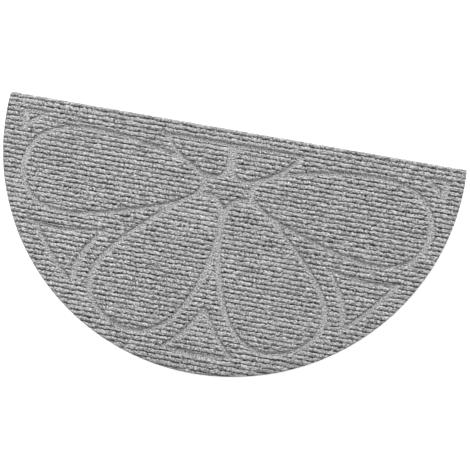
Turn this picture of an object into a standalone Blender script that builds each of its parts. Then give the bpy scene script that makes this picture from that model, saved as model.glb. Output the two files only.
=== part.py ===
"""Half-moon doormat of ribbed felt, with half a flower pressed into its ribs.

Metres, +Z up. The origin is on the underside, in the middle of the mat's bounding box.
The straight edge runs along X on the +Y side, and the arc bulges towards -Y.
"""

import math

import bmesh
import bpy
import numpy as np

# Driving dimensions of the mat
MAT_WIDTH = 0.750
MAT_DEPTH = 0.400
MAT_THICKNESS = 0.008

# Ribs: rows of pile parallel to the straight edge, counted from the first valley
RIB_PITCH = 0.00777
RIB_HEIGHT = 0.0028
FIRST_VALLEY = 0.0066

# Section of one rib: share of the pitch from its valley, and share of the rib's height there
RIB_SECTION = [
    {"across": 0.00, "height": 0.00},
    {"across": 0.22, "height": 0.80},
    {"across": 0.50, "height": 1.00},
    {"across": 0.78, "height": 0.80},
]

# Pressed grooves that draw the flower, with how far a corner may run past the groove's own half width
GROOVE_WIDTH = 0.0100
GROOVE_FLOOR_WIDTH = 0.0070
GROOVE_FLOOR_HEIGHT = 0.0038
GROOVE_CORNER_REACH = 1.5

# Frame line that the flower is set in, measured in from the mat's edges; its arc sits a little off centre
FRAME_OFFSET = (0.0020, -0.0015)
FRAME_INSET_ARC = 0.031
FRAME_INSET_STRAIGHT = 0.025
CORNER_SOFTNESS = 0.0015

# Petals of the right half, each mirrored to the left about the axis of its own pair
PETALS = [
    {"name": "side", "axis_x": 0.0025, "root": (0.0390, 0.1052), "tip": (0.3330, 0.0831),
     "half_width": 0.0705, "bow": 0.0015, "root_width": 0.480, "taper": 4.0},
    {"name": "lower", "axis_x": 0.0025, "root": (0.0171, 0.0854), "tip": (0.1564, -0.1354),
     "half_width": 0.0765, "bow": -0.0087, "root_width": 0.497, "taper": 3.65},
    {"name": "upper", "axis_x": 0.0004, "root": (0.0132, 0.1210), "tip": (0.1123, 0.3020),
     "half_width": 0.0512, "bow": -0.0099, "root_width": 0.757, "taper": 0.83},
]

# Darts: small three-sided figures in the room between petals and frame, each given by a point inside it
DART_GAP = 0.0285
DARTS = [
    {"name": "corner_right", "inside": (0.337, 0.167)},
    {"name": "corner_left", "inside": (-0.335, 0.166)},
    {"name": "flank_right", "inside": (0.240, -0.033)},
    {"name": "flank_left", "inside": (-0.238, -0.035)},
    {"name": "foot", "inside": (0.002, -0.143)},
]

# Fineness of the outlines
ARC_SEGMENTS = 72
PETAL_STATIONS = 52
DART_STATIONS = 36
FINE_STATIONS = 360

# How far a cutter stands past what it cuts, and the steps that find an outline
OVERSHOOT = 0.002
SEARCH_STEP = 0.002
SEARCH_HALVINGS = 20

RIM_RADIUS = ((MAT_WIDTH / 2) ** 2 + MAT_DEPTH ** 2) / (2 * MAT_DEPTH)
RIM_CENTRE = np.array([0.0, RIM_RADIUS - MAT_DEPTH / 2])
FRAME_TOP = MAT_DEPTH / 2 - FRAME_INSET_STRAIGHT


def clear_scene():
    for thing in list(bpy.data.objects):
        bpy.data.objects.remove(thing, do_unlink=True)


def felt_material():
    material = bpy.data.materials.new("grey_felt")
    material.use_nodes = True
    shader = material.node_tree.nodes["Principled BSDF"]
    shader.inputs["Base Color"].default_value = (0.31, 0.31, 0.31, 1.0)
    shader.inputs["Roughness"].default_value = 0.95
    shader.inputs["Metallic"].default_value = 0.0
    return material


def mesh_object(name, vertices, faces):
    """Closed mesh with its faces turned outwards."""
    mesh = bpy.data.meshes.new(name)
    mesh.from_pydata(vertices, [], faces)
    work = bmesh.new()
    work.from_mesh(mesh)
    bmesh.ops.recalc_face_normals(work, faces=work.faces)
    work.to_mesh(mesh)
    work.free()
    thing = bpy.data.objects.new(name, mesh)
    bpy.context.collection.objects.link(thing)
    return thing


def loft(name, rings, capped):
    """Skin over rings of equal point count: a prism when capped, else a ring of rings."""
    count = len(rings[0])
    vertices = [point for ring in rings for point in ring]
    faces = []
    for row in range(len(rings) - 1 if capped else len(rings)):
        following = (row + 1) % len(rings)
        for i in range(count):
            j = (i + 1) % count
            faces.append((row * count + i, row * count + j, following * count + j, following * count + i))
    if capped:
        faces.append(tuple(range(count)))
        faces.append(tuple(range(len(vertices) - count, len(vertices))))
    return mesh_object(name, vertices, faces)


def as_cutter(thing):
    thing.hide_render = True
    thing.display_type = 'WIRE'
    return thing


def half_moon_outline():
    """Both ends of the straight edge, and the arc that joins them."""
    corner = np.array([MAT_WIDTH / 2, MAT_DEPTH / 2]) - RIM_CENTRE
    start = math.atan2(corner[1], corner[0])
    turns = np.linspace(start, -math.pi - start, ARC_SEGMENTS + 1)
    return RIM_CENTRE + RIM_RADIUS * np.column_stack([np.cos(turns), np.sin(turns)])


def rib_section():
    """Section across the ribs as (y, z) points, from a valley off the straight edge to one past the arc."""
    first = MAT_DEPTH / 2 - FIRST_VALLEY + RIB_PITCH
    rib_count = math.ceil((first + MAT_DEPTH / 2) / RIB_PITCH)
    valley_height = MAT_THICKNESS - RIB_HEIGHT
    points = [(first, 0.0)]
    for rib in range(rib_count):
        for row in RIB_SECTION:
            y = first - (rib + row["across"]) * RIB_PITCH
            points.append((y, valley_height + row["height"] * RIB_HEIGHT))
    last = first - rib_count * RIB_PITCH
    return points + [(last, valley_height), (last, 0.0)]


def petal_outline(petal, side, stations):
    """Teardrop from a narrow root to a broad tip; side is 1 for the right petal and -1 for the left."""
    turn = np.linspace(0.0, 2 * math.pi, stations, endpoint=False)
    half_turn = np.minimum(turn, 2 * math.pi - turn)

    def width_at(t):
        return np.sin(t) * (petal["root_width"] + (1 - petal["root_width"]) * np.sin(t / 2) ** petal["taper"])

    widest = width_at(np.linspace(0.0, math.pi, FINE_STATIONS)).max()
    along = (1 - np.cos(half_turn)) / 2
    flank = np.where(turn <= math.pi, 1.0, -1.0)
    width = width_at(half_turn) / widest * petal["half_width"]
    across = flank * width + petal["bow"] * 4 * along * (1 - along)
    root = np.array(petal["root"])
    spine = np.array(petal["tip"]) - root
    sideways = np.array([-spine[1], spine[0]]) / np.hypot(*spine)
    points = root + np.outer(along, spine) + np.outer(across, sideways)
    return points * [side, 1] + [petal["axis_x"], 0.0]


def distance_inside(points, outline):
    """Distance from each point to a closed outline: positive inside it, negative outside."""
    run = np.roll(outline, -1, axis=0) - outline
    offset = points[:, None, :] - outline[None, :, :]
    share = np.clip((offset * run).sum(-1) / (run * run).sum(-1), 0.0, 1.0)
    nearest = np.linalg.norm(offset - share[..., None] * run, axis=-1).min(1)
    crosses = (offset[..., 1] >= 0) != (offset[..., 1] >= run[:, 1])
    rise = np.where(run[:, 1] == 0, 1.0, run[:, 1])
    beyond = run[:, 0] * offset[..., 1] / rise > offset[..., 0]
    inside = (crosses & beyond).sum(1) % 2 == 1
    return np.where(inside, nearest, -nearest)


def soft_minimum(levels):
    """The smallest of several distances, with the corners between them a little rounded."""
    scaled = -np.array(levels) / CORNER_SOFTNESS
    top = scaled.max(0)
    return -CORNER_SOFTNESS * (top + np.log(np.exp(scaled - top).sum(0)))


def inside_frame_top(points):
    return FRAME_TOP - points[:, 1]


def inside_frame_arc(points):
    return RIM_RADIUS - FRAME_INSET_ARC - np.linalg.norm(points - RIM_CENTRE - FRAME_OFFSET, axis=1)


def petal_level(outline):
    """Distance inside one petal, which the frame's top line may cut short."""
    return lambda points: soft_minimum([distance_inside(points, outline), inside_frame_top(points)])


def dart_level():
    """Distance inside the room that frame and petals leave free."""
    outlines = [petal_outline(petal, side, FINE_STATIONS) for petal in PETALS for side in (1, -1)]

    def level(points):
        gaps = [-distance_inside(points, outline) - DART_GAP for outline in outlines]
        return soft_minimum([inside_frame_top(points), inside_frame_arc(points)] + gaps)

    return level


def level_line(level, inside, directions, wanted):
    """Points where the level first falls to the wanted value, going out from a point inside."""
    near = np.zeros(len(directions))
    while True:
        far = near + SEARCH_STEP
        still = level(inside + far[:, None] * directions) > wanted
        if not still.any():
            break
        near = np.where(still, far, near)
    for _ in range(SEARCH_HALVINGS):
        middle = (near + far) / 2
        still = level(inside + middle[:, None] * directions) > wanted
        near = np.where(still, middle, near)
        far = np.where(still, far, middle)
    return inside + near[:, None] * directions


def directions_to(points, inside):
    run = points - inside
    return run / np.linalg.norm(run, axis=1)[:, None]


def groove_cutter(name, level, inside, directions):
    """Ring with sloping walls and a flat floor that presses one outline into the ribs."""
    top = MAT_THICKNESS + OVERSHOOT
    slope = (GROOVE_WIDTH - GROOVE_FLOOR_WIDTH) / (MAT_THICKNESS - GROOVE_FLOOR_HEIGHT)
    half_top = (GROOVE_WIDTH + slope * OVERSHOOT) / 2
    half_floor = GROOVE_FLOOR_WIDTH / 2
    section = [(half_top, top), (half_floor, GROOVE_FLOOR_HEIGHT),
               (-half_floor, GROOVE_FLOOR_HEIGHT), (-half_top, top)]
    middle_line = level_line(level, inside, directions, 0.0)
    rings = []
    for wanted, height in section:
        run = level_line(level, inside, directions, wanted) - middle_line
        length = np.linalg.norm(run, axis=1)
        kept = np.minimum(1.0, GROOVE_CORNER_REACH * abs(wanted) / length)
        line = middle_line + run * kept[:, None]
        rings.append([(x, y, height) for x, y in line])
    return as_cutter(loft(name, rings, capped=False))


def petal_cutters():
    cutters = []
    for petal in PETALS:
        for side, word in ((1, "right"), (-1, "left")):
            outline = petal_outline(petal, side, FINE_STATIONS)
            inside = outline[outline[:, 1] < FRAME_TOP].mean(0)
            stations = petal_outline(petal, side, PETAL_STATIONS)
            stations = stations[stations[:, 1] < MAT_DEPTH / 2]
            name = f"groove_{petal['name']}_{word}"
            cutters.append(groove_cutter(name, petal_level(outline), inside, directions_to(stations, inside)))
    return cutters


def evenly_along(line, count):
    """Points at equal steps along a closed line."""
    closed = np.vstack([line, line[:1]])
    length = np.concatenate([[0.0], np.cumsum(np.linalg.norm(np.diff(closed, axis=0), axis=1))])
    steps = np.linspace(0.0, length[-1], count, endpoint=False)
    return np.column_stack([np.interp(steps, length, closed[:, axis]) for axis in (0, 1)])


def dart_cutters():
    level = dart_level()
    turns = np.linspace(0.0, 2 * math.pi, FINE_STATIONS, endpoint=False)
    all_round = np.column_stack([np.cos(turns), np.sin(turns)])
    cutters = []
    for dart in DARTS:
        inside = np.array(dart["inside"])
        stations = evenly_along(level_line(level, inside, all_round, 0.0), DART_STATIONS)
        name = f"groove_{dart['name']}"
        cutters.append(groove_cutter(name, level, inside, directions_to(stations, inside)))
    return cutters


def build_mat():
    """Ribbed sheet, cut to the half moon, with the flower's grooves pressed in."""
    section = rib_section()
    ends = (-MAT_WIDTH / 2 - OVERSHOOT, MAT_WIDTH / 2 + OVERSHOOT)
    mat = loft("mat", [[(x, y, z) for y, z in section] for x in ends], capped=True)
    mat.data.shade_smooth()
    mat.data.set_sharp_from_angle(angle=math.radians(45))
    mat.data.materials.append(felt_material())

    outline = half_moon_outline()
    heights = (-OVERSHOOT, MAT_THICKNESS + OVERSHOOT)
    half_moon = as_cutter(loft("half_moon", [[(x, y, z) for x, y in outline] for z in heights], capped=True))
    trim = mat.modifiers.new("trim to the half moon", 'BOOLEAN')
    trim.operation = 'INTERSECT'
    trim.object = half_moon

    for cutter in petal_cutters() + dart_cutters():
        press = mat.modifiers.new(cutter.name, 'BOOLEAN')
        press.operation = 'DIFFERENCE'
        press.object = cutter


clear_scene()
build_mat()
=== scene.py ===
# %% [markdown]
# # A half-moon doormat of ribbed felt
#
# The real mat is one piece of coarse needle felt. A needle loom has pulled its fibres up into
# rows, the ribs, and a hot stamp has pressed half a flower into them as smooth, sunken lines.
# This lesson builds it in layers, as it would look under your hand: the ribs with the stamped
# flower, the loose loops of fibre that make them rough, and the dense felt underneath.
#
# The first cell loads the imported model, which fixes where everything is and how large.

import math

import bmesh
import bpy
import numpy as np
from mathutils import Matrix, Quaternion, Vector


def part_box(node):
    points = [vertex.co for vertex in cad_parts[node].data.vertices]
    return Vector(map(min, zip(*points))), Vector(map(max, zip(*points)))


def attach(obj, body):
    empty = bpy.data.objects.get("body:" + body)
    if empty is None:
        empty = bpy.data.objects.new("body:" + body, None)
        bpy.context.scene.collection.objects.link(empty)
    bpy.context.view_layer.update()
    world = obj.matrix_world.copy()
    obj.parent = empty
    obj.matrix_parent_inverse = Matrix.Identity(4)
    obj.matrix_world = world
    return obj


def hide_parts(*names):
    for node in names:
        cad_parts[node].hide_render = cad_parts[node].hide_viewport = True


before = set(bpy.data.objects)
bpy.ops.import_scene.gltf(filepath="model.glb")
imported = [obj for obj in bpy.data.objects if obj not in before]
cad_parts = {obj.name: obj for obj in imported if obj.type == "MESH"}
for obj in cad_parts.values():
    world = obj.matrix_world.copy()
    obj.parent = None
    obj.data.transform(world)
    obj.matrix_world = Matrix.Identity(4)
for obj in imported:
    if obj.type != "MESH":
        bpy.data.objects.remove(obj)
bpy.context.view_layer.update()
low_corner, high_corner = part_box("mat")
print("mat from", tuple(low_corner), "to", tuple(high_corner))

# %% [markdown]
# ## The half moon
#
# The outline is one circle cut by a straight line. The circle's widest points are on the mat,
# so half the box's width is its radius, and everything else about the outline follows.

# %% Sizes of the half moon
RIM_RADIUS = high_corner.x
STRAIGHT_EDGE_Y = high_corner.y
ARC_BOTTOM_Y = low_corner.y
RIM_CENTRE_Y = ARC_BOTTOM_Y + RIM_RADIUS
BEYOND_CENTRE = STRAIGHT_EDGE_Y - RIM_CENTRE_Y


def half_chord(y):
    """Half the mat's width along X at one y."""
    return math.sqrt(max(0.0, RIM_RADIUS ** 2 - (y - RIM_CENTRE_Y) ** 2))


EDGE_HALF = half_chord(STRAIGHT_EDGE_Y)

# %% [markdown]
# ## Sums of sockets
#
# Both the geometry and the felt's colour are worked out by nodes. A long sum of Math nodes is
# hard to read, so a small class wraps an output socket and lets Python's own signs add the
# nodes. Any other node comes from one method: its type, its settings, and its inputs.


# %% A socket that can be used in a sum
class Wire:
    """One output socket. A sum of wires adds the Math nodes that work it out."""

    def __init__(self, bench, socket):
        self.bench = bench
        self.socket = socket

    def math(self, operation, *others):
        """Math node with this wire first."""
        return self.bench.node("ShaderNodeMath", {"operation": operation}, dict(enumerate((self,) + others)))

    def flipped(self, operation, other):
        """Math node with this wire last, for 1 - mask and the like."""
        return self.bench.node("ShaderNodeMath", {"operation": operation}, {0: other, 1: self})

    def __add__(self, other):
        return self.math('ADD', other)

    def __sub__(self, other):
        return self.math('SUBTRACT', other)

    def __mul__(self, other):
        return self.math('MULTIPLY', other)

    def __truediv__(self, other):
        return self.math('DIVIDE', other)

    def __pow__(self, other):
        return self.math('POWER', other)

    def __rsub__(self, other):
        return self.flipped('SUBTRACT', other)

    def __rtruediv__(self, other):
        return self.flipped('DIVIDE', other)

    __radd__ = __add__
    __rmul__ = __mul__

    def low(self, other):
        """The lower of the two."""
        return self.math('MINIMUM', other)

    def high(self, other):
        """The higher of the two."""
        return self.math('MAXIMUM', other)


class Bench:
    """A node tree, with one method that adds any node to it."""

    def __init__(self, tree):
        self.tree = tree

    def node(self, kind, settings=None, inputs=None, output=0):
        """Add a node with its settings and its inputs, and give back the wire of one output."""
        made = self.tree.nodes.new(kind)
        for name, value in (settings or {}).items():
            if name == "stops":
                self.set_stops(made.color_ramp, value)
            else:
                setattr(made, name, value)
        for key, value in (inputs or {}).items():
            if isinstance(value, Wire):
                self.tree.links.new(value.socket, made.inputs[key])
            else:
                made.inputs[key].default_value = value
        return Wire(self, made.outputs[output])

    def set_stops(self, ramp, stops):
        while len(ramp.elements) < len(stops):
            ramp.elements.new(1.0)
        for element, (place, colour) in zip(ramp.elements, stops):
            element.position = place
            element.color = colour

    def smooth_step(self, value, start, end):
        """0 before start, 1 after end, and an easy curve between."""
        return self.node("ShaderNodeMapRange", {"interpolation_type": 'SMOOTHSTEP', "clamp": True},
                         {0: value, 1: start, 2: end, 3: 0.0, 4: 1.0})

    def fine_noise(self, place, scale, detail=0.0):
        """Noise texture from 0 to 1, with so many grains to the metre."""
        return self.node("ShaderNodeTexNoise", {"noise_dimensions": '3D'},
                         {"Vector": place, "Scale": scale, "Detail": detail, "Roughness": 0.5})

    def vector(self, x, y, z):
        return self.node("ShaderNodeCombineXYZ", None, {0: x, 1: y, 2: z})

    def split(self, vector):
        """The three numbers of a vector."""
        return [self.node("ShaderNodeSeparateXYZ", None, {0: vector}, axis) for axis in range(3)]


print("Wire and Bench are ready")

# %% [markdown]
# ## The pressed lines
#
# The grooves are already in the model: every face of it that lies at the grooves' depth is
# groove floor. A copy of just those faces is a map of the flower, and the edges round them are
# a second one. Outside a groove the first map tells how far away it is, inside it the second
# tells how far its side is. The ribs below ask both, so the two models always agree.

# %% Two maps of the grooves, taken from the model
GROOVE_FLOOR = 0.0038
LEVEL_TOLERANCE = 0.00002


def groove_floors(node):
    """Mesh of the model's faces that lie at the grooves' depth."""
    work = bmesh.new()
    work.from_mesh(node.data)
    other = [face for face in work.faces
             if any(abs(vertex.co.z - GROOVE_FLOOR) > LEVEL_TOLERANCE for vertex in face.verts)]
    bmesh.ops.delete(work, geom=other, context='FACES')
    area = sum(face.calc_area() for face in work.faces)
    print(f"groove floor: {len(work.faces)} faces, {area * 1e4:.0f} cm2")
    return work


def rim_of(work):
    """The border of a mesh: only its outer edges, without a face."""
    rim = work.copy()
    bmesh.ops.remove_doubles(rim, verts=rim.verts, dist=LEVEL_TOLERANCE)
    inner = [edge for edge in rim.edges if len(edge.link_faces) > 1]
    bmesh.ops.delete(rim, geom=list(rim.faces), context='FACES_ONLY')
    bmesh.ops.delete(rim, geom=inner, context='EDGES')
    print(f"groove rim: {len(rim.edges)} edges, {sum(edge.calc_length() for edge in rim.edges):.2f} m")
    return rim


def map_object(name, work):
    """Object that the ribs' tree can ask for distances."""
    mesh = bpy.data.meshes.new(name)
    work.to_mesh(mesh)
    work.free()
    thing = bpy.data.objects.new(name, mesh)
    bpy.context.scene.collection.objects.link(thing)
    return thing


floors = groove_floors(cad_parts["mat"])
flower_rim = map_object("groove_rim", rim_of(floors))
flower_map = map_object("groove_map", floors)

# %% [markdown]
# ## The felt
#
# Needle felt is a tangle of dark and light fibres, so up close its grey is made of many greys.
# Noise alone would look like stone. Fibres are long and thin, so some of the noise here is
# stretched: three layers of light strands and two of dark ones, each lying another way and
# bent a little. Rounder tufts and a faint patchiness come under them.
#
# Little light gets out from between two ribs, so the felt's colour is painted darker in the
# valleys: painted shade. The ribs carry their height as an attribute, "crest", which is 1 on top
# and 0 in a valley, lower where painted shade falls on groove walls, level groove floors and the
# cut edge, and the material reads it.

# %% Plain parts of every material here
LOW_SHINE = 0.15
COOL_TINT = 1.005


def principled(name, roughness, sheen=0.0):
    """New matt material, its shader, and a bench to build its colour on."""
    material = bpy.data.materials.new(name)
    material.use_nodes = True
    shader = material.node_tree.nodes["Principled BSDF"]
    shader.inputs["Roughness"].default_value = roughness
    shader.inputs["Sheen Weight"].default_value = sheen
    shader.inputs["Specular IOR Level"].default_value = LOW_SHINE
    return material, shader, Bench(material.node_tree)


def grey(value):
    """A grey that is the least bit cool, as this felt is."""
    return (value, value, value * COOL_TINT, 1.0)


print("a middle grey of this felt:", grey(0.36))

# %% Strands of fibre in the felt
STRAND_LENGTH = 0.0024
STRAND_WIDTH = 0.0004
STRAND_WAVE = 0.0016
CHANGE_UPWARD = 2.0
WAVES_PER_METRE = 350.0
# A layer of strands is its turn in radians and a number that sets it apart. The middles are
# close to what the lightest and the darkest strands come to over the mat (0.62 and 0.42 when
# measured). Only their sum changes the felt's grey, and it is right within a hundredth.
LIGHT_STRANDS = [(0.4, 3.0), (1.7, 5.0), (2.7, 7.0)]
DARK_STRANDS = [(1.0, 13.0), (2.2, 17.0)]
LIGHT_MIDDLE = 0.59
DARK_MIDDLE = 0.44


def strand_layer(bench, place, turn, layer):
    """Noise in long thin grains that lie one way, like felted fibres; layer sets it apart."""
    x, y, z = bench.split(place)
    along = x * math.cos(turn) + y * math.sin(turn)
    across = y * math.cos(turn) - x * math.sin(turn)
    wave = bench.fine_noise(place, WAVES_PER_METRE) * STRAND_WAVE
    upward = z / STRAND_LENGTH * CHANGE_UPWARD + layer
    return bench.fine_noise(bench.vector(along / STRAND_LENGTH, (across + wave) / STRAND_WIDTH, upward), 1.0)


def felt_strands(bench, place):
    """The lightest of the light strands and the darkest of the dark ones at a place."""
    first, second, third = (strand_layer(bench, place, *way) for way in LIGHT_STRANDS)
    light = first.high(second).high(third)
    first, second = (strand_layer(bench, place, *way) for way in DARK_STRANDS)
    return light, first.low(second)


print(len(LIGHT_STRANDS), "layers of light strands and", len(DARK_STRANDS), "of dark ones")

# %% Put the felt's colour together
FELT_GREYS = [(0.0, grey(0.03)), (0.25, grey(0.16)), (0.5, grey(0.36)), (1.0, grey(0.66))]
TUFTS_PER_METRE = 600.0
PATCHES_PER_METRE = 14.0
STRAND_STRENGTH = 2.24
TUFT_STRENGTH = 3.5
PATCH_STRENGTH = 0.15
VALLEY_CONTRAST = 3.6
CREST_CONTRAST = 0.85
# Painted shade: the share of the tone that is kept down in a valley.
PAINTED_VALLEY_SHADE = 0.03
VALLEY_CREST = 0.28
FULL_CREST = 0.95
BUMP_STRENGTH = 0.6
BUMP_HEIGHT = 0.0007
TUFT_BUMP = 0.7


def felt_tone(bench, light, dark, tuft, patch):
    """Tone from 0 to 1: strands, tufts and patches, all of it painted darker down in a valley as painted
    shade.
    """
    crest = bench.node("ShaderNodeAttribute", {"attribute_name": "crest"}, output=2)
    height = bench.smooth_step(crest, VALLEY_CREST, FULL_CREST)
    strands = (light - LIGHT_MIDDLE) * STRAND_STRENGTH + (dark - DARK_MIDDLE) * STRAND_STRENGTH
    contrast = VALLEY_CONTRAST - height * (VALLEY_CONTRAST - CREST_CONTRAST)
    tone = ((tuft - 0.5) * TUFT_STRENGTH + strands) * contrast + (patch - 0.5) * PATCH_STRENGTH + 0.5
    # Painted shade: the tone is darkened where the crest attribute is low, in valleys and on shaded walls.
    return tone * (PAINTED_VALLEY_SHADE + height * (1.0 - PAINTED_VALLEY_SHADE))


def felt_material():
    material, shader, bench = principled("ribbed_felt", 0.95, 0.1)
    place = bench.node("ShaderNodeTexCoord", output=3)
    light, dark = felt_strands(bench, place)
    tuft = bench.fine_noise(place, TUFTS_PER_METRE, 1.0)
    patch = bench.fine_noise(place, PATCHES_PER_METRE, 2.0)
    tone = felt_tone(bench, light, dark, tuft, patch)
    colour = bench.node("ShaderNodeValToRGB", {"stops": FELT_GREYS}, {"Fac": tone})
    relief = tuft * TUFT_BUMP + light - dark
    bump = bench.node("ShaderNodeBump", None,
                      {"Strength": BUMP_STRENGTH, "Distance": BUMP_HEIGHT, "Height": relief})
    bench.tree.links.new(colour.socket, shader.inputs["Base Color"])
    bench.tree.links.new(bump.socket, shader.inputs["Normal"])
    return material


ribbed_felt = felt_material()
print("material", ribbed_felt.name, "with", len(ribbed_felt.node_tree.nodes), "nodes")

# %% [markdown]
# ## Trees that grow a mesh
#
# Geometry Nodes suit both the ribs and the loose fibres: one rule makes the whole field of ribs,
# and another makes thousands of fibres. A small class on top of Bench keeps what such a tree
# needs besides its nodes: its sizes as named inputs, an ending that makes the result real and
# gives it a material, and a way to run the tree and keep a plain mesh.


# %% A tree with named inputs
class GeometryTree(Bench):
    """A Geometry Nodes tree whose sizes are named inputs of its modifier."""

    KINDS = {float: 'NodeSocketFloat', int: 'NodeSocketInt', bpy.types.Object: 'NodeSocketObject',
             bpy.types.Material: 'NodeSocketMaterial'}

    def __init__(self, name, sizes):
        super().__init__(bpy.data.node_groups.new(name, 'GeometryNodeTree'))
        sockets = self.tree.interface
        sockets.new_socket("Geometry", in_out='OUTPUT', socket_type='NodeSocketGeometry')
        sockets.new_socket("Geometry", in_out='INPUT', socket_type='NodeSocketGeometry')
        self.identifiers = {}
        for label, value in sizes.items():
            socket = sockets.new_socket(label, in_out='INPUT', socket_type=self.KINDS[type(value)])
            self.identifiers[label] = socket.identifier
        self.entry = self.tree.nodes.new("NodeGroupInput")

    def size(self, label):
        return Wire(self, self.entry.outputs[label])

    def here(self):
        """Where a point is: its x and y."""
        return self.split(self.node("GeometryNodeInputPosition"))[:2]

    def store(self, geometry, domain, name, value):
        """Geometry that carries one more attribute."""
        return self.node("GeometryNodeStoreNamedAttribute", {"data_type": 'FLOAT', "domain": domain},
                         {"Geometry": geometry, "Name": name, "Value": value})

    def finish(self, geometry, material):
        """Realize what was made, give it its material and send it out."""
        real = self.node("GeometryNodeRealizeInstances", None, {0: geometry})
        dressed = self.node("GeometryNodeSetMaterial", None, {"Geometry": real, "Material": material})
        leave = self.tree.nodes.new("NodeGroupOutput")
        self.tree.links.new(dressed.socket, leave.inputs[0])

    def grow(self, name, sizes, start=None):
        """Plain mesh object that the tree makes with these sizes."""
        seedling = start.copy() if start else bpy.data.meshes.new("seedling")
        thing = bpy.data.objects.new(name, seedling)
        bpy.context.scene.collection.objects.link(thing)
        modifier = thing.modifiers.new("grow", 'NODES')
        modifier.node_group = self.tree
        for label, value in sizes.items():
            modifier[self.identifiers[label]] = value
        bpy.context.view_layer.update()
        evaluated = thing.evaluated_get(bpy.context.evaluated_depsgraph_get())
        grown = bpy.data.meshes.new_from_object(evaluated)
        thing.modifiers.remove(modifier)
        thing.data = grown
        bpy.data.meshes.remove(seedling)
        grown.name = name
        return thing


print("GeometryTree is ready")

# %% [markdown]
# ## The ribs
#
# A rib is a rounded ridge that should be the same from one end to the other, but never quite
# is. Its fibres were pulled up in bundles, so it wanders, swells and thins, and here and there
# fibres cross to the next rib and bridge the valley.
#
# Ribs could be 52 tubes side by side, but then every tube would have to be cut and closed at
# every groove. Here they are one surface: a grid is bent to the half moon, raised to the ridges'
# section, and its points are pushed about by layers of noise, one for each way in which a rib
# strays.

# %% Sizes of the ribs
RIB_PITCH = 0.00777
FIRST_VALLEY = 0.0066
RIB_COUNT = 52

# The first four are set anew for each band.
RIB_SIZES = {
    "Columns": 600, "Rows": 105, "Low Y": -0.1, "High Y": 0.1,
    "Rim Radius": RIM_RADIUS, "Rim Centre Y": RIM_CENTRE_Y, "Straight Edge Y": STRAIGHT_EDGE_Y,
    "Rib Pitch": RIB_PITCH, "First Valley Y": STRAIGHT_EDGE_Y - FIRST_VALLEY,
    "Valley Level": 0.0036, "Crest Level": 0.0078, "Map Level": GROOVE_FLOOR, "Groove Level": 0.0048,
    "Wall Foot": 0.0014, "Wall Top": 0.0034, "Wander": 0.0014, "Tuft Height": 0.0009,
    "Lip": 0.0005, "Rim Drop": 0.0009,
}
print(RIB_COUNT, "ribs,", RIB_PITCH * 1000, "mm apart")

# %% Layers of noise
# A layer is its grain's length along X and along Y, in metres, and a number that sets it apart.
RIB_NOISE = {
    "bridges": (0.0048, 0.0040, 3.0),
    "strands": (0.0024, 0.0024, 5.0),
    "swell": (0.0055, 0.0060, 7.0),
    "tufts": (0.0017, 0.0017, 11.0),
    "ragged edge": (0.0040, 0.0040, 17.0),
    "drift": (0.0180, 0.0090, 23.0),
    "wobble": (0.0042, 0.0038, 29.0),
    "combing": (0.0030, 0.0030, 31.0),
    "thinning": (0.0026, 0.0034, 37.0),
}
NOISE_STRETCH = 3.0


def noise_layer(bench, name, x, y, detail=1.0, roughness=0.5):
    """One layer of noise over the mat, from about -1 to 1."""
    grain_x, grain_y, layer = RIB_NOISE[name]
    noise = bench.node("ShaderNodeTexNoise", {"noise_dimensions": '3D'},
                       {"Vector": bench.vector(x / grain_x, y / grain_y, layer),
                        "Scale": 1.0, "Detail": detail, "Roughness": roughness})
    return (noise - 0.5) * NOISE_STRETCH


print(len(RIB_NOISE), "layers of noise")


# %% The half moon's grid
COLUMN_STEP = 0.0011
ROWS_PER_RIB = 8
ARC_CLEARANCE = 0.0002


def moon_grid(bench):
    """Flat grid whose rows run along the ribs, each row as long as the mat is wide there."""
    size = bench.size
    grid = bench.node("GeometryNodeMeshGrid", None,
                      {"Size X": 2.0, "Size Y": 1.0,
                       "Vertices X": size("Columns"), "Vertices Y": size("Rows")})
    start_x, start_y = bench.here()
    y = size("Low Y") + (start_y + 0.5) * (size("High Y") - size("Low Y"))
    arc_bottom = size("Rim Centre Y") - size("Rim Radius") + ARC_CLEARANCE
    y = y.low(size("Straight Edge Y")).high(arc_bottom)
    off_centre = y - size("Rim Centre Y")
    x = start_x * (size("Rim Radius") ** 2.0 - off_centre ** 2.0).high(0.0).math('SQRT')
    place = bench.vector(x, y, 0.0)
    return bench.node("GeometryNodeSetPosition", None, {"Geometry": grid, "Position": place})


def edge_distance(bench, x, y):
    """How far a point lies inside the mat's outline."""
    size = bench.size
    from_centre = (x ** 2.0 + (y - size("Rim Centre Y")) ** 2.0).math('SQRT')
    return (size("Rim Radius") - from_centre).low(size("Straight Edge Y") - y)


row_step = RIB_PITCH / ROWS_PER_RIB
print(f"grid points {COLUMN_STEP * 1000} mm apart along a rib and {row_step * 1000:.2f} mm across it")

# %% The ridges' section
THINNING = 0.35
FLATNESS = 4.0
FLANK_POWER = 0.9
BRIDGED_FROM, BRIDGED_TO = 0.2, 0.55
BRIDGE_FILL = 0.8
STRANDS_FROM, STRANDS_TO = -0.1, 0.7
STRAND_FILL = 0.25


def ridge_share(bench, x, y):
    """0 in a valley and 1 on a crest, with the fibres that bridge a valley here and there."""
    size = bench.size
    share = ((size("First Valley Y") - y) / size("Rib Pitch")).math('FRACT')
    thinning = 1.0 + noise_layer(bench, "thinning", x, y) * THINNING
    from_crest = (share * 2.0 - 1.0).math('ABSOLUTE') * thinning
    ridge = (1.0 - from_crest ** FLATNESS).high(0.0) ** FLANK_POWER
    bridges = bench.smooth_step(noise_layer(bench, "bridges", x, y, 2.0, 0.6), BRIDGED_FROM, BRIDGED_TO)
    strands = bench.smooth_step(noise_layer(bench, "strands", x, y), STRANDS_FROM, STRANDS_TO)
    return 1.0 - (1.0 - ridge) * (1.0 - bridges * BRIDGE_FILL) * (1.0 - strands * STRAND_FILL)


print("a bridge fills", round(BRIDGE_FILL * 100), "% of a valley")

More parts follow.
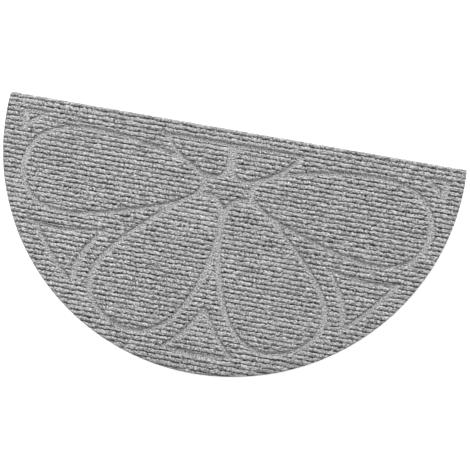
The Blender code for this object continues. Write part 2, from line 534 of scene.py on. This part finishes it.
# %% [markdown]
# ### Where the stamp pressed
#
# A groove is not a channel with two square sides. Where it crosses the ribs, the stamp has cut
# them short and the groove keeps its full width. Where it runs along them, a whole rib rolls
# over its side and narrows it, most of all on the side away from the straight edge. Asking for
# the distance twice, once a millimetre lower, tells which way a side faces: "lean" is 1 on the
# lower side of a level groove, -1 on its upper side, and near 0 along an upright one.

# %% Distance to the grooves, and their walls
LEAN_STEP = 0.001
RAGGEDNESS = 0.0006
ROLL_AT_FOOT = 0.0022
ROLL_AT_TOP = 0.0008
LOWER_ROLL_AT_FOOT = 0.0006
LOWER_ROLL_AT_TOP = 0.0008
TOUCHING = 0.00001


def groove_distance(bench, x, y):
    """Distance to the nearest groove floor, and below zero over the floor itself."""
    size = bench.size
    place = bench.vector(x, y, size("Map Level"))
    nearest = []
    for label, element in (("Groove Map", 'FACES'), ("Groove Rim", 'EDGES')):
        flower = bench.node("GeometryNodeObjectInfo", {"transform_space": 'ORIGINAL'},
                            {"Object": size(label)}, "Geometry")
        nearest.append(bench.node("GeometryNodeProximity", {"target_element": element},
                                  {0: flower, "Sample Position": place}, "Distance"))
    outside, from_rim = nearest
    return outside - from_rim * outside.math('LESS_THAN', TOUCHING)


def open_pile(bench, x, y):
    """Distance to the grooves, which way their side faces, and how free the pile stands, 0 to 1."""
    size = bench.size
    distance = groove_distance(bench, x, y)
    lean = (groove_distance(bench, x, y - LEAN_STEP) - distance) / LEAN_STEP
    ragged = noise_layer(bench, "ragged edge", x, y) * RAGGEDNESS
    level = lean.math('ABSOLUTE')
    lower = lean.high(0.0)
    foot = size("Wall Foot") - level * ROLL_AT_FOOT - lower * LOWER_ROLL_AT_FOOT
    top = size("Wall Top") - level * ROLL_AT_TOP - lower * LOWER_ROLL_AT_TOP
    return distance, lean, bench.smooth_step(distance + ragged, foot, top)


print("the grooves' floor lies", GROOVE_FLOOR * 1000, "mm up in the model")


# %% Height and place of the felt's surface
SWELL = 0.0002
FLOOR_TUFTS = 0.0003
FLOOR_RIBS = 0.0004
RIM_DROP_FROM, RIM_DROP_TO = -0.0005, 0.0022
HELD_RIM = 0.004
WOBBLE_SHARE = 1.6
HELD_BY_GROOVE = 0.2
GROOVE_REACH = 0.006
COMBING = 0.0004
LIP_WIDTH = 0.003


def pile_height(bench, x, y, ridge, free_pile):
    """How high the felt stands: the ribs, their tufts, and the pressed floor of the grooves."""
    size = bench.size
    swell = noise_layer(bench, "swell", x, y)
    tufts = noise_layer(bench, "tufts", x, y)
    rib = size("Valley Level") + (size("Crest Level") - size("Valley Level")) * ridge
    rib = rib + swell * SWELL * ridge + tufts * size("Tuft Height")
    floor = size("Groove Level") + tufts * FLOOR_TUFTS + (ridge - 0.5) * FLOOR_RIBS
    inside_rim = bench.smooth_step(edge_distance(bench, x, y), RIM_DROP_FROM, RIM_DROP_TO)
    return floor + (rib - floor) * free_pile - (1.0 - inside_rim) * size("Rim Drop")


def strayed_place(bench, x, y, groove, height):
    """Place of a point after the rib has wandered: less near a groove, and not at the rim."""
    size = bench.size
    free = bench.smooth_step(edge_distance(bench, x, y), 0.0, HELD_RIM)
    stray = noise_layer(bench, "drift", x, y) + noise_layer(bench, "wobble", x, y) * WOBBLE_SHARE
    off_groove = bench.smooth_step(groove, 0.0, GROOVE_REACH)
    across = stray * size("Wander") * free * (HELD_BY_GROOVE + off_groove * (1.0 - HELD_BY_GROOVE))
    along = noise_layer(bench, "combing", x, y) * COMBING * free
    lip = (1.0 - bench.smooth_step(size("Straight Edge Y") - y, 0.0, LIP_WIDTH)) * size("Lip")
    return bench.vector(x + along, y + across + lip, height)


print("a lip of pile hangs", RIB_SIZES["Lip"] * 1000, "mm over the straight edge")

# %% What the felt's material reads
# Painted shade: level groove floors, the groove walls and the cut edge get less of a crest's light, so the
# material paints them darker.
FLOOR_CREST = 0.82
LEVEL_FLOOR_SHADE = 0.06
WALL_SHADE = 0.6
WALL_SHADE_BY_SIDE = 0.7
CUT_SHADE = 0.35
CUT_WIDTH = 0.0016


def crest_with_painted_shade(bench, y, ridge, lean, free_pile):
    """1 for the light of an open crest and 0 for a deep valley, with painted shade on walls, level floors and
    cut edge.
    """
    floor = FLOOR_CREST - lean.math('ABSOLUTE') * LEVEL_FLOOR_SHADE
    wall_shade = free_pile * (1.0 - free_pile) * (WALL_SHADE + lean * WALL_SHADE_BY_SIDE)
    off_edge = bench.smooth_step(bench.size("Straight Edge Y") - y, 0.0, CUT_WIDTH)
    return ridge * free_pile + floor * (1.0 - free_pile) - wall_shade - (1.0 - off_edge) * CUT_SHADE


print("a groove's floor counts as", FLOOR_CREST, "of a crest's light")


# %% The ribs' tree
def rib_tree():
    bench = GeometryTree("ribbed_field", {**RIB_SIZES, "Groove Map": flower_map, "Groove Rim": flower_rim,
                                          "Felt": ribbed_felt})
    plan = moon_grid(bench)
    x, y = bench.here()
    ridge = ridge_share(bench, x, y)
    groove, lean, free_pile = open_pile(bench, x, y)
    marked = bench.store(plan, 'POINT', "crest", crest_with_painted_shade(bench, y, ridge, lean, free_pile))
    marked = bench.store(marked, 'POINT', "pressed", 1.0 - free_pile)
    height = pile_height(bench, x, y, ridge, free_pile)
    raised = bench.node("GeometryNodeSetPosition", None,
                        {"Geometry": marked, "Position": strayed_place(bench, x, y, groove, height)})
    merged = bench.node("GeometryNodeMergeByDistance", None,
                        {"Geometry": raised, "Distance": LEVEL_TOLERANCE})
    bench.finish(merged, bench.size("Felt"))
    return bench


ribbed_field = rib_tree()
print("rib tree:", len(ribbed_field.tree.nodes), "nodes")

# %% [markdown]
# ## Loose fibres
#
# No needle catches every fibre. Thousands of them stand out of a real mat as small loops, some
# light and some dark, and most of them sit on the ribs, because the stamp has pressed those in
# the grooves flat. Blender's hair would be quick to comb, but it isn't a mesh, and only meshes
# are kept here. So each loop is a short bent tube with three sides, set on the surface at a
# random place and turn, and noise then bends every one a little differently.

# %% The loose fibres' material
FIBRE_GREYS = [(0.0, grey(0.10)), (0.5, grey(0.32)), (1.0, grey(0.72))]


def fibre_material():
    material, shader, bench = principled("loose_fibre", 0.8, 0.2)
    shade = bench.node("ShaderNodeAttribute", {"attribute_name": "shade"}, output=2)
    colour = bench.node("ShaderNodeValToRGB", {"stops": FIBRE_GREYS}, {"Fac": shade})
    bench.tree.links.new(colour.socket, shader.inputs["Base Color"])
    return material


loose_fibre = fibre_material()
print("material", loose_fibre.name)

# %% One loop of fibre
FIBRE_SIZES = {
    "Loops per Square Metre": 58000.0, "Loop Radius": 0.0018, "Loop Sweep": 2.3, "Fibre Radius": 0.0001,
    "Buried": 0.0003, "Bend": 0.0014, "Seed": 1,
}
LOOP_POINTS = 4
FIBRE_SIDES = 3


def fibre_loop(bench):
    """An arc of fibre that stands on its two feet, both of them a little under the surface."""
    size = bench.size
    half_sweep = size("Loop Sweep") * 0.5
    arc = bench.node("GeometryNodeCurveArc", {"mode": 'RADIUS'},
                     {"Resolution": LOOP_POINTS, "Radius": size("Loop Radius"),
                      "Start Angle": math.pi / 2 - half_sweep, "Sweep Angle": size("Loop Sweep")})
    foot = size("Loop Radius") * half_sweep.math('COSINE') + size("Buried")
    standing = bench.node("GeometryNodeTransform", None,
                          {"Geometry": arc, "Rotation": (math.pi / 2, 0.0, 0.0),
                           "Translation": bench.vector(0.0, 0.0, foot * -1.0)})
    section = bench.node("GeometryNodeCurvePrimitiveCircle", {"mode": 'RADIUS'},
                         {"Resolution": FIBRE_SIDES, "Radius": size("Fibre Radius")})
    return bench.node("GeometryNodeCurveToMesh", None,
                      {"Curve": standing, "Profile Curve": section, "Fill Caps": True})


print("a loop has", (LOOP_POINTS - 1) * FIBRE_SIDES, "sides and two ends")

# %% The loose fibres' tree
MOST_LEAN = (0.7, 0.3, 2 * math.pi)
LEAST_LEAN = (-0.7, -0.3, 0.0)
BENDS_PER_METRE = 700.0
SMALLEST_LOOP, LARGEST_LOOP = 0.6, 1.25
PRESSED_AWAY = 0.7


def random_number(bench, low, high, seed):
    """Another number for every loop."""
    return bench.node("FunctionNodeRandomValue", {"data_type": 'FLOAT'}, {2: low, 3: high, "Seed": seed}, 1)


def turned_loops(bench, surface):
    """Loops all over the surface, upright on it, then leaned and turned at random."""
    size = bench.size
    pressed = bench.node("GeometryNodeInputNamedAttribute", {"data_type": 'FLOAT'},
                         {"Name": "pressed"}, "Attribute")
    density = size("Loops per Square Metre") * (1.0 - pressed * PRESSED_AWAY)
    scattered = bench.node("GeometryNodeDistributePointsOnFaces", {"distribute_method": 'RANDOM'},
                           {"Mesh": surface, "Density": density, "Seed": size("Seed")})
    upright = Wire(bench, scattered.socket.node.outputs["Rotation"])
    turn = bench.node("FunctionNodeRandomValue", {"data_type": 'FLOAT_VECTOR'},
                      {"Min": LEAST_LEAN, "Max": MOST_LEAN, "Seed": size("Seed") + 1.0})
    lean = bench.node("FunctionNodeEulerToRotation", None, {"Euler": turn})
    turned = bench.node("FunctionNodeRotateRotation", {"rotation_space": 'LOCAL'},
                        {"Rotation": upright, "Rotate By": lean})
    return bench.node("GeometryNodeInstanceOnPoints", None,
                      {"Points": scattered, "Instance": fibre_loop(bench), "Rotation": turned,
                       "Scale": random_number(bench, SMALLEST_LOOP, LARGEST_LOOP, size("Seed") + 2.0)})


def fibre_tree():
    bench = GeometryTree("loose_fibres", {**FIBRE_SIZES, "Fibre": loose_fibre})
    size = bench.size
    loops = turned_loops(bench, size("Geometry"))
    shaded = bench.store(loops, 'INSTANCE', "shade", random_number(bench, 0.0, 1.0, size("Seed") + 3.0))
    real = bench.node("GeometryNodeRealizeInstances", None, {0: shaded})
    here = bench.node("GeometryNodeInputPosition")
    bend = bench.node("ShaderNodeTexNoise", {"noise_dimensions": '3D'},
                      {"Vector": here, "Scale": BENDS_PER_METRE, "Detail": 0.0}, "Color")
    push = bench.node("ShaderNodeVectorMath", {"operation": 'SUBTRACT'}, {0: bend, 1: (0.5, 0.5, 0.5)})
    push = bench.node("ShaderNodeVectorMath", {"operation": 'SCALE'}, {0: push, "Scale": size("Bend")})
    bent = bench.node("GeometryNodeSetPosition", None, {"Geometry": real, "Offset": push})
    bench.finish(bent, size("Fibre"))
    return bench


fibre_field = fibre_tree()
print("fibre tree:", len(fibre_field.tree.nodes), "nodes")

# %% [markdown]
# ## Four bands
#
# The field is grown in four bands, so that no single mesh is too heavy, and each band gets its
# own fibres while it is still an open skin. Then it gets a wall down from its border and a
# floor: a felt is a solid body, and a program that reads the mesh expects a closed one.


# %% Close a band from below
BAND_FLOOR = 0.0033
TOP_FACES = 0.05


def close_below(mesh, level):
    """Wall from the mesh's border straight down to a level, and one face across the bottom."""
    work = bmesh.new()
    work.from_mesh(mesh)
    border = [edge for edge in work.edges if edge.is_boundary]
    made = bmesh.ops.extrude_edge_only(work, edges=border)["geom"]
    for item in made:
        if isinstance(item, bmesh.types.BMVert):
            item.co.z = level
    rim = [edge for edge in work.edges if edge.is_boundary]
    bmesh.ops.edgeloop_fill(work, edges=rim)
    bmesh.ops.recalc_face_normals(work, faces=work.faces)
    for face in work.faces:
        face.smooth = face.normal.z > TOP_FACES
    work.to_mesh(mesh)
    open_edges = sum(1 for edge in work.edges if len(edge.link_faces) != 2)
    work.free()
    return open_edges


def triangle_count(mesh):
    return sum(len(face.vertices) - 2 for face in mesh.polygons)


print("each band ends", BAND_FLOOR * 1000, "mm up, inside the base sheet")


# %% Grow the four bands and their fibres
BAND_COUNT = 4
SEEDS_PER_BAND = 10


def grow_band(number, low_y, high_y, rows):
    """One band of ribs and the fibres on it, its columns a step apart where it is widest."""
    widest = half_chord(min(max(RIM_CENTRE_Y, low_y), high_y, STRAIGHT_EDGE_Y))
    band = ribbed_field.grow(f"ribs_{number}", {
        **RIB_SIZES, "Low Y": low_y, "High Y": high_y, "Rows": rows, "Columns": int(2 * widest / COLUMN_STEP),
        "Groove Map": flower_map, "Groove Rim": flower_rim, "Felt": ribbed_felt})
    fibres = fibre_field.grow(f"fibres_{number}", {
        **FIBRE_SIZES, "Seed": SEEDS_PER_BAND * (number - 1) + 1, "Fibre": loose_fibre}, band.data)
    open_edges = close_below(band.data, BAND_FLOOR)
    print(f"{band.name}: {triangle_count(band.data)} triangles, {open_edges} open edges")
    print(f"{fibres.name}: {triangle_count(fibres.data)} triangles")
    return band, fibres


ribs_each = RIB_COUNT // BAND_COUNT
top_valley = STRAIGHT_EDGE_Y - FIRST_VALLEY + RIB_PITCH
grown = []
for number in range(BAND_COUNT):
    high_y = top_valley - number * ribs_each * RIB_PITCH
    grown.append(grow_band(number + 1, high_y - ribs_each * RIB_PITCH, high_y, ribs_each * ROWS_PER_RIB + 1))
bands, fibres = zip(*grown)

# %% [markdown]
# ## The base sheet
#
# Under the ribs lies the dense part of the felt, a flat sheet a few millimetres thick. Only its
# cut edge and its underside ever show. There the fibres are packed and bound, so its material
# is darker and finer than the pile's. The edge was cut by a blade, so it is one clean outline,
# a little rough from the cut fibres and very slightly hollow. A few rings of points give all of
# that, so this sheet needs no tree and is made straight from a list of points and faces.

# %% The base sheet's material
BASE_GREYS = [(0.0, grey(0.05)), (0.5, grey(0.15)), (1.0, grey(0.34))]
TANGLES_PER_METRE = 900.0
CLOUDS_PER_METRE = 60.0
TANGLE_CONTRAST = 1.8
CLOUD_CONTRAST = 0.5


def base_material():
    material, shader, bench = principled("dense_felt", 0.9, 0.1)
    place = bench.node("ShaderNodeTexCoord", output=3)
    tangle = bench.fine_noise(place, TANGLES_PER_METRE, 2.0)
    cloud = bench.fine_noise(place, CLOUDS_PER_METRE, 2.0)
    tone = (tangle - 0.5) * TANGLE_CONTRAST + (cloud - 0.5) * CLOUD_CONTRAST + 0.5
    colour = bench.node("ShaderNodeValToRGB", {"stops": BASE_GREYS}, {"Fac": tone})
    bump = bench.node("ShaderNodeBump", None, {"Strength": 0.5, "Distance": 0.0004, "Height": tangle})
    bench.tree.links.new(colour.socket, shader.inputs["Base Color"])
    bench.tree.links.new(bump.socket, shader.inputs["Normal"])
    return material


dense_felt = base_material()
print("material", dense_felt.name)

# %% The outline, point by point
EDGE_STEP = 0.002


def moon_outline():
    """Points round the half moon, evenly spaced, starting on the right of the straight edge."""
    start = math.asin(BEYOND_CENTRE / RIM_RADIUS)
    sweep = math.pi + 2 * start
    turns = np.linspace(start, start - sweep, int(RIM_RADIUS * sweep / EDGE_STEP) + 1)
    arc = np.column_stack([RIM_RADIUS * np.cos(turns), RIM_CENTRE_Y + RIM_RADIUS * np.sin(turns)])
    along = np.linspace(-EDGE_HALF, EDGE_HALF, int(2 * EDGE_HALF / EDGE_STEP) + 1)[1:-1]
    straight = np.column_stack([along, np.full(len(along), STRAIGHT_EDGE_Y)])
    return np.vstack([arc, straight])


print("outline of", len(moon_outline()), "points")

# %% Make the base sheet
BASE_TOP = 0.0035
EDGE_LEVELS = 3
CUT_ROUGHNESS = 0.00045
CUT_HOLLOW = 0.0004
HOLLOW_START, HOLLOW_SPAN = 0.25, 0.6
CUT_SEED = 5


def edge_rings(outline):
    """The cut edge as rings of points from the floor up."""
    random = np.random.default_rng(CUT_SEED)
    inward = np.array([0.0, RIM_CENTRE_Y]) - outline
    inward /= np.linalg.norm(inward, axis=1)[:, None]
    vertices = []
    for level in range(EDGE_LEVELS + 1):
        share = level / EDGE_LEVELS
        cut = random.uniform(0.0, CUT_ROUGHNESS, len(outline))
        cut += CUT_HOLLOW * (1 - math.sin(math.pi * (HOLLOW_START + HOLLOW_SPAN * share)))
        ring = outline + inward * cut[:, None]
        vertices += [(x, y, BASE_TOP * share) for x, y in ring]
    return vertices


def base_sheet():
    outline = moon_outline()
    count = len(outline)
    faces = []
    for low_ring in range(0, EDGE_LEVELS * count, count):
        high_ring = low_ring + count
        for here in range(count):
            after = (here + 1) % count
            faces.append((low_ring + here, high_ring + here, high_ring + after, low_ring + after))
    faces.append(tuple(range(count)))
    faces.append(tuple(range(EDGE_LEVELS * count, (EDGE_LEVELS + 1) * count)))
    mesh = bpy.data.meshes.new("base_sheet")
    mesh.from_pydata(edge_rings(outline), [], faces)
    work = bmesh.new()
    work.from_mesh(mesh)
    bmesh.ops.recalc_face_normals(work, faces=work.faces)
    work.to_mesh(mesh)
    work.free()
    mesh.materials.append(dense_felt)
    thing = bpy.data.objects.new("base_sheet", mesh)
    bpy.context.scene.collection.objects.link(thing)
    return thing


sheet = base_sheet()
print("base sheet:", len(sheet.data.polygons), "faces")

# %% [markdown]
# ## Hand the pieces over
#
# The two maps have done their work and go. Every piece that stays moves with the mat and keeps
# its felt material, and the base sheet takes the place of the model's mat, which is hidden.

# %% Hand the pieces to the model
bpy.data.objects.remove(flower_map)
bpy.data.objects.remove(flower_rim)
for piece in (sheet, *bands, *fibres):
    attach(piece, "root")
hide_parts("mat")
print("pieces:", ", ".join(piece.name for piece in (sheet, *bands, *fibres)))

# %% [markdown]
# ## Floor, light and camera
#
# The mat lies on a bright white sweep, seen from almost overhead. One broad soft light stands
# far beyond the straight edge and low, about 30 degrees up, so the ribs' near flanks fall into
# shade. It is far away, so that it is nearly as strong at the arc as at the straight edge. A
# weak second light close to the left end lifts that end a little.
#
# The camera looks from far off through a long lens. Its side, height, roll and distance were
# fitted to the mat's outline in the photograph, which is why they aren't round numbers.

# %% Floor and light
FLOOR_SIZE = 40.0
UNDER_THE_MAT = -0.0002
FLOOR_WHITE = (0.93, 0.93, 0.93, 1.0)
WHITE = (1.0, 1.0, 1.0, 1.0)
FLOOR_GLOW = 0.6
SKY_STRENGTH = 0.6


def floor():
    """White floor that glows a little, so that it stays white in the mat's own shadow."""
    bpy.ops.mesh.primitive_plane_add(size=FLOOR_SIZE, location=(0, 0, UNDER_THE_MAT))
    thing = bpy.context.object
    thing.name = "floor"
    material, shader = principled("white_sweep", 0.9)[:2]
    shader.inputs["Base Color"].default_value = FLOOR_WHITE
    shader.inputs["Emission Color"].default_value = WHITE
    shader.inputs["Emission Strength"].default_value = FLOOR_GLOW
    thing.data.materials.append(material)
    return thing


def soft_light(name, place, size, power):
    """Square light of this size in metres and power in watts, turned towards the mat."""
    lamp = bpy.data.lights.new(name, 'AREA')
    lamp.shape = 'SQUARE'
    lamp.size = size
    lamp.energy = power
    thing = bpy.data.objects.new(name, lamp)
    thing.location = place
    thing.rotation_euler = (-Vector(place)).to_track_quat('-Z', 'Y').to_euler()
    bpy.context.scene.collection.objects.link(thing)


def soft_sky(strength):
    """Even white light from all round."""
    world = bpy.data.worlds.new("studio")
    world.use_nodes = True
    background = world.node_tree.nodes["Background"]
    background.inputs["Color"].default_value = WHITE
    background.inputs["Strength"].default_value = strength
    bpy.context.scene.world = world


sweep = floor()
soft_light("key", (0.3, 7.8, 4.5), 3.0, 1150.0)
soft_light("left_fill", (-1.5, 0.4, 1.1), 0.8, 7.0)
soft_sky(SKY_STRENGTH)
bpy.context.scene.view_settings.view_transform = 'Standard'
print(f"{sweep.name} of {FLOOR_SIZE:.0f} m, {len(bpy.data.lights)} lights")

# %% Camera
CAMERA_TARGET = (0.0280, 0.0314, 0.006)
CAMERA_AZIMUTH = -30.27
CAMERA_ELEVATION = 79.51
CAMERA_ROLL = -19.85
CAMERA_DISTANCE = 4.808
CAMERA_LENS = 229.8


def camera():
    """Camera that looks down at the target from this side and height, turned by its roll."""
    turn = math.radians(CAMERA_AZIMUTH)
    rise = math.radians(CAMERA_ELEVATION)
    ahead = Vector((math.sin(turn) * math.cos(rise), math.cos(turn) * math.cos(rise), -math.sin(rise)))
    lens = bpy.data.cameras.new("camera")
    lens.lens = CAMERA_LENS
    thing = bpy.data.objects.new("camera", lens)
    thing.location = Vector(CAMERA_TARGET) - ahead * CAMERA_DISTANCE
    rolled = ahead.to_track_quat('-Z', 'Y') @ Quaternion((0, 0, 1), math.radians(CAMERA_ROLL))
    thing.rotation_euler = rolled.to_euler()
    bpy.context.scene.collection.objects.link(thing)
    bpy.context.scene.camera = thing
    return thing


print("camera at", tuple(round(number, 3) for number in camera().location))
